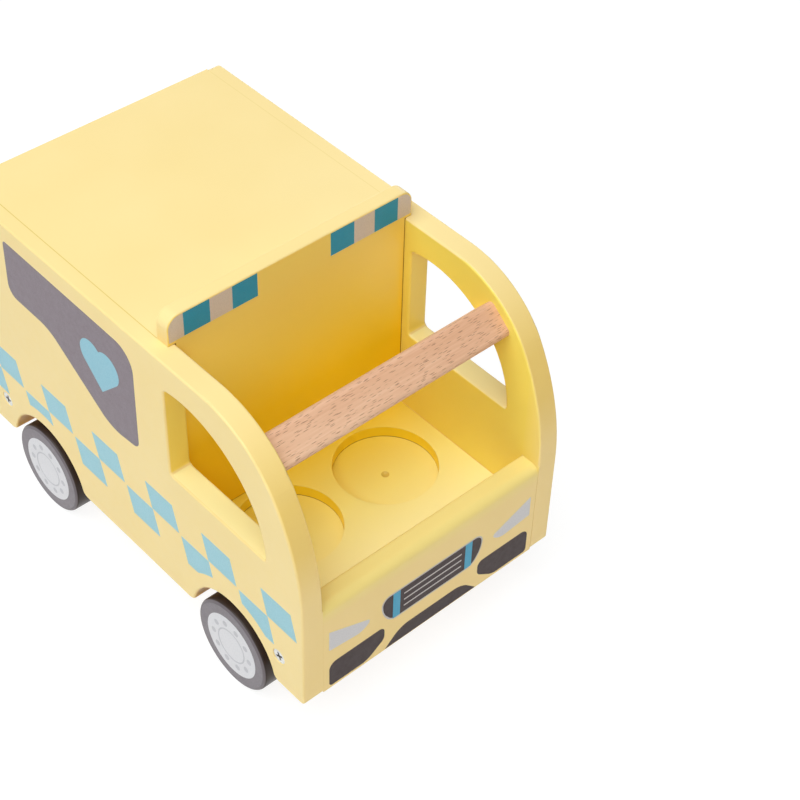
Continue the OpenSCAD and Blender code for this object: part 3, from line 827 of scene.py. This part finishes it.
def drawn_in(corners, by):
    """The same outline, a little smaller; corners at its waist keep their height."""
    middle = sum(v for _, v, _ in corners) / len(corners)
    smaller = []
    for u, v, run in corners:
        drop = math.copysign(by, v - middle) if abs(v - middle) > grille_waist else 0.0
        smaller.append((u - math.copysign(by, u), v - drop, run - by))
    return smaller


slats = [[(u * slat_end, z + v * slat_half, slat_round)
          for u, v in ((1, 1), (-1, 1), (-1, -1), (1, -1))] for z in slat_heights]
front_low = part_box("front_panel")[0]
place = Matrix(((1, 0, 0, 0), (0, 0, -1, front_low.y), (0, 1, 0, front_low.z), (0, 0, 0, 1)))
for name, ink, coats, outlines in (
        ("headlamp_prints", lamp_ink, first_coat, both_ways(head_corners)),
        ("fog_lamp_prints", dark_ink, first_coat, both_ways(fog_corners) + [intake_corners]),
        ("grille_line_print", line_ink, first_coat, [grille_corners]),
        ("grille_print", dark_ink, second_coat, [drawn_in(grille_corners, grille_line)]),
        ("grille_slat_prints", line_ink, third_coat, slats),
        ("grille_upright_prints", upright_ink, third_coat, both_ways(upright_corners))):
    printed(name, ink, coats, place, outlines)

# Rear doors
# Two doors of the same board with sanded edges, each on steel pins let into the base and the roof.
# A finger hole is bored where they meet.

for node, body in (("right_rear_door", "right_door"), ("left_rear_door", "left_door")):
    door = add_piece(node + "_sanded", sanded_board(node), enamel)
    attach(door, body)
    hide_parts(node)

# Studio
# A softly lit white table under a large soft lamp at the right, with a low warm one in front and a
# weak one behind the left corner. The table shows white to the lens and keeps the toy's shadow.

table_half = 6.0
table_bounce = 0.82
table_light = 0.24
shadow_grey = 0.2
glow_reach = (0.5, 1.3)
glow_levels = (0.88, 1.0)
room_levels = (0.06, 1.0)

table_shape = bmesh.new()
bmesh.ops.create_grid(table_shape, x_segments=1, y_segments=1, size=table_half)
table_mesh = bpy.data.meshes.new("table")
table_shape.to_mesh(table_mesh)
table_shape.free()
table = bpy.data.objects.new("table", table_mesh)
bpy.context.collection.objects.link(table)


def seen_rays(tree):
    """One where a ray comes from the lens, a mirror or glass, and zero elsewhere."""
    rays = tree.nodes.new("ShaderNodeLightPath").outputs
    shiny = worked(tree, "MAXIMUM", rays["Is Camera Ray"], rays["Is Glossy Ray"])
    return worked(tree, "MAXIMUM", shiny, rays["Is Transmission Ray"])


def glowing_matt(tree, grey, glow):
    """A matt grey surface that gives some light; glow is a number or a socket."""
    matt = tree.nodes.new("ShaderNodeBsdfDiffuse")
    matt.inputs["Color"].default_value = (grey, grey, grey, 1)
    light = tree.nodes.new("ShaderNodeEmission")
    if isinstance(glow, bpy.types.NodeSocket):
        tree.links.new(glow, light.inputs["Strength"])
    else:
        light.inputs["Strength"].default_value = glow
    both = tree.nodes.new("ShaderNodeAddShader")
    tree.links.new(matt.outputs[0], both.inputs[0])
    tree.links.new(light.outputs[0], both.inputs[1])
    return both.outputs[0]


table_top, tree, shader, where = new_finish("white_table")
tree.nodes.remove(shader)
away = tree.nodes.new("ShaderNodeVectorMath")
away.operation = "LENGTH"
tree.links.new(where, away.inputs[0])
whiter = spread(tree, away.outputs["Value"], glow_reach, glow_levels)
choice = tree.nodes.new("ShaderNodeMixShader")
tree.links.new(seen_rays(tree), choice.inputs[0])
tree.links.new(glowing_matt(tree, table_bounce, table_light), choice.inputs[1])
tree.links.new(glowing_matt(tree, shadow_grey, whiter), choice.inputs[2])
tree.links.new(choice.outputs[0], tree.nodes["Material Output"].inputs["Surface"])
table_mesh.materials.append(table_top)

world = bpy.data.worlds.new("studio")
bpy.context.scene.world = world
world.use_nodes = True
tree = world.node_tree
room = tree.nodes["Background"]
room.inputs["Color"].default_value = (1, 1, 1, 1)
tree.links.new(spread(tree, seen_rays(tree), (0, 1), room_levels), room.inputs["Strength"])


def lamp(name, spot, aim, size, power, colour=(1, 1, 1)):
    """A square soft lamp."""
    light = bpy.data.lights.new(name, "AREA")
    light.color = colour
    light.size = size
    light.energy = power
    holder = bpy.data.objects.new(name, light)
    holder.location = spot
    holder.rotation_euler = (Vector(aim) - Vector(spot)).to_track_quat("-Z", "Y").to_euler()
    bpy.context.collection.objects.link(holder)


lamp("overhead", (-0.5, -0.12, 1.2), (0, -0.02, 0.08), 1.4, 22.0, (0.92, 0.99, 1.02))
lamp("left_rear", (1.2, 1.1, 0.5), (0, 0, 0.08), 0.9, 6.0)
lamp("front_low", (0.2, -1.5, 0.25), (0, 0, 0.08), 0.9, 3.3, (1.0, 0.72, 0.2))

# Camera
# It looks down on the right front corner from about 0.8 m away, as the picture was taken, and is
# turned by two degrees about its own line of sight.

bearing, height, roll = math.radians(-43.426), math.radians(44.161), math.radians(2.052)
eye_spot = Vector((-0.35271, -0.46246, 0.63603))
focal_length = 82.743
sensor_width = 36

level = math.cos(height)
back = Vector((math.sin(bearing) * level, -math.cos(bearing) * level, math.sin(height)))
across = Vector((math.cos(bearing), math.sin(bearing), 0))
upward = back.cross(across)
across, upward = (across * math.cos(roll) + upward * math.sin(roll),
                  upward * math.cos(roll) - across * math.sin(roll))
eye = Matrix((across, upward, back)).transposed().to_4x4()
eye.translation = eye_spot
lens = bpy.data.cameras.new("camera")
lens.lens = focal_length
lens.sensor_width = sensor_width
lens.clip_start = 10 * mm
camera = bpy.data.objects.new("camera", lens)
camera.matrix_world = eye
bpy.context.collection.objects.link(camera)
bpy.context.scene.camera = camera
bpy.context.scene.view_settings.view_transform = "Standard"
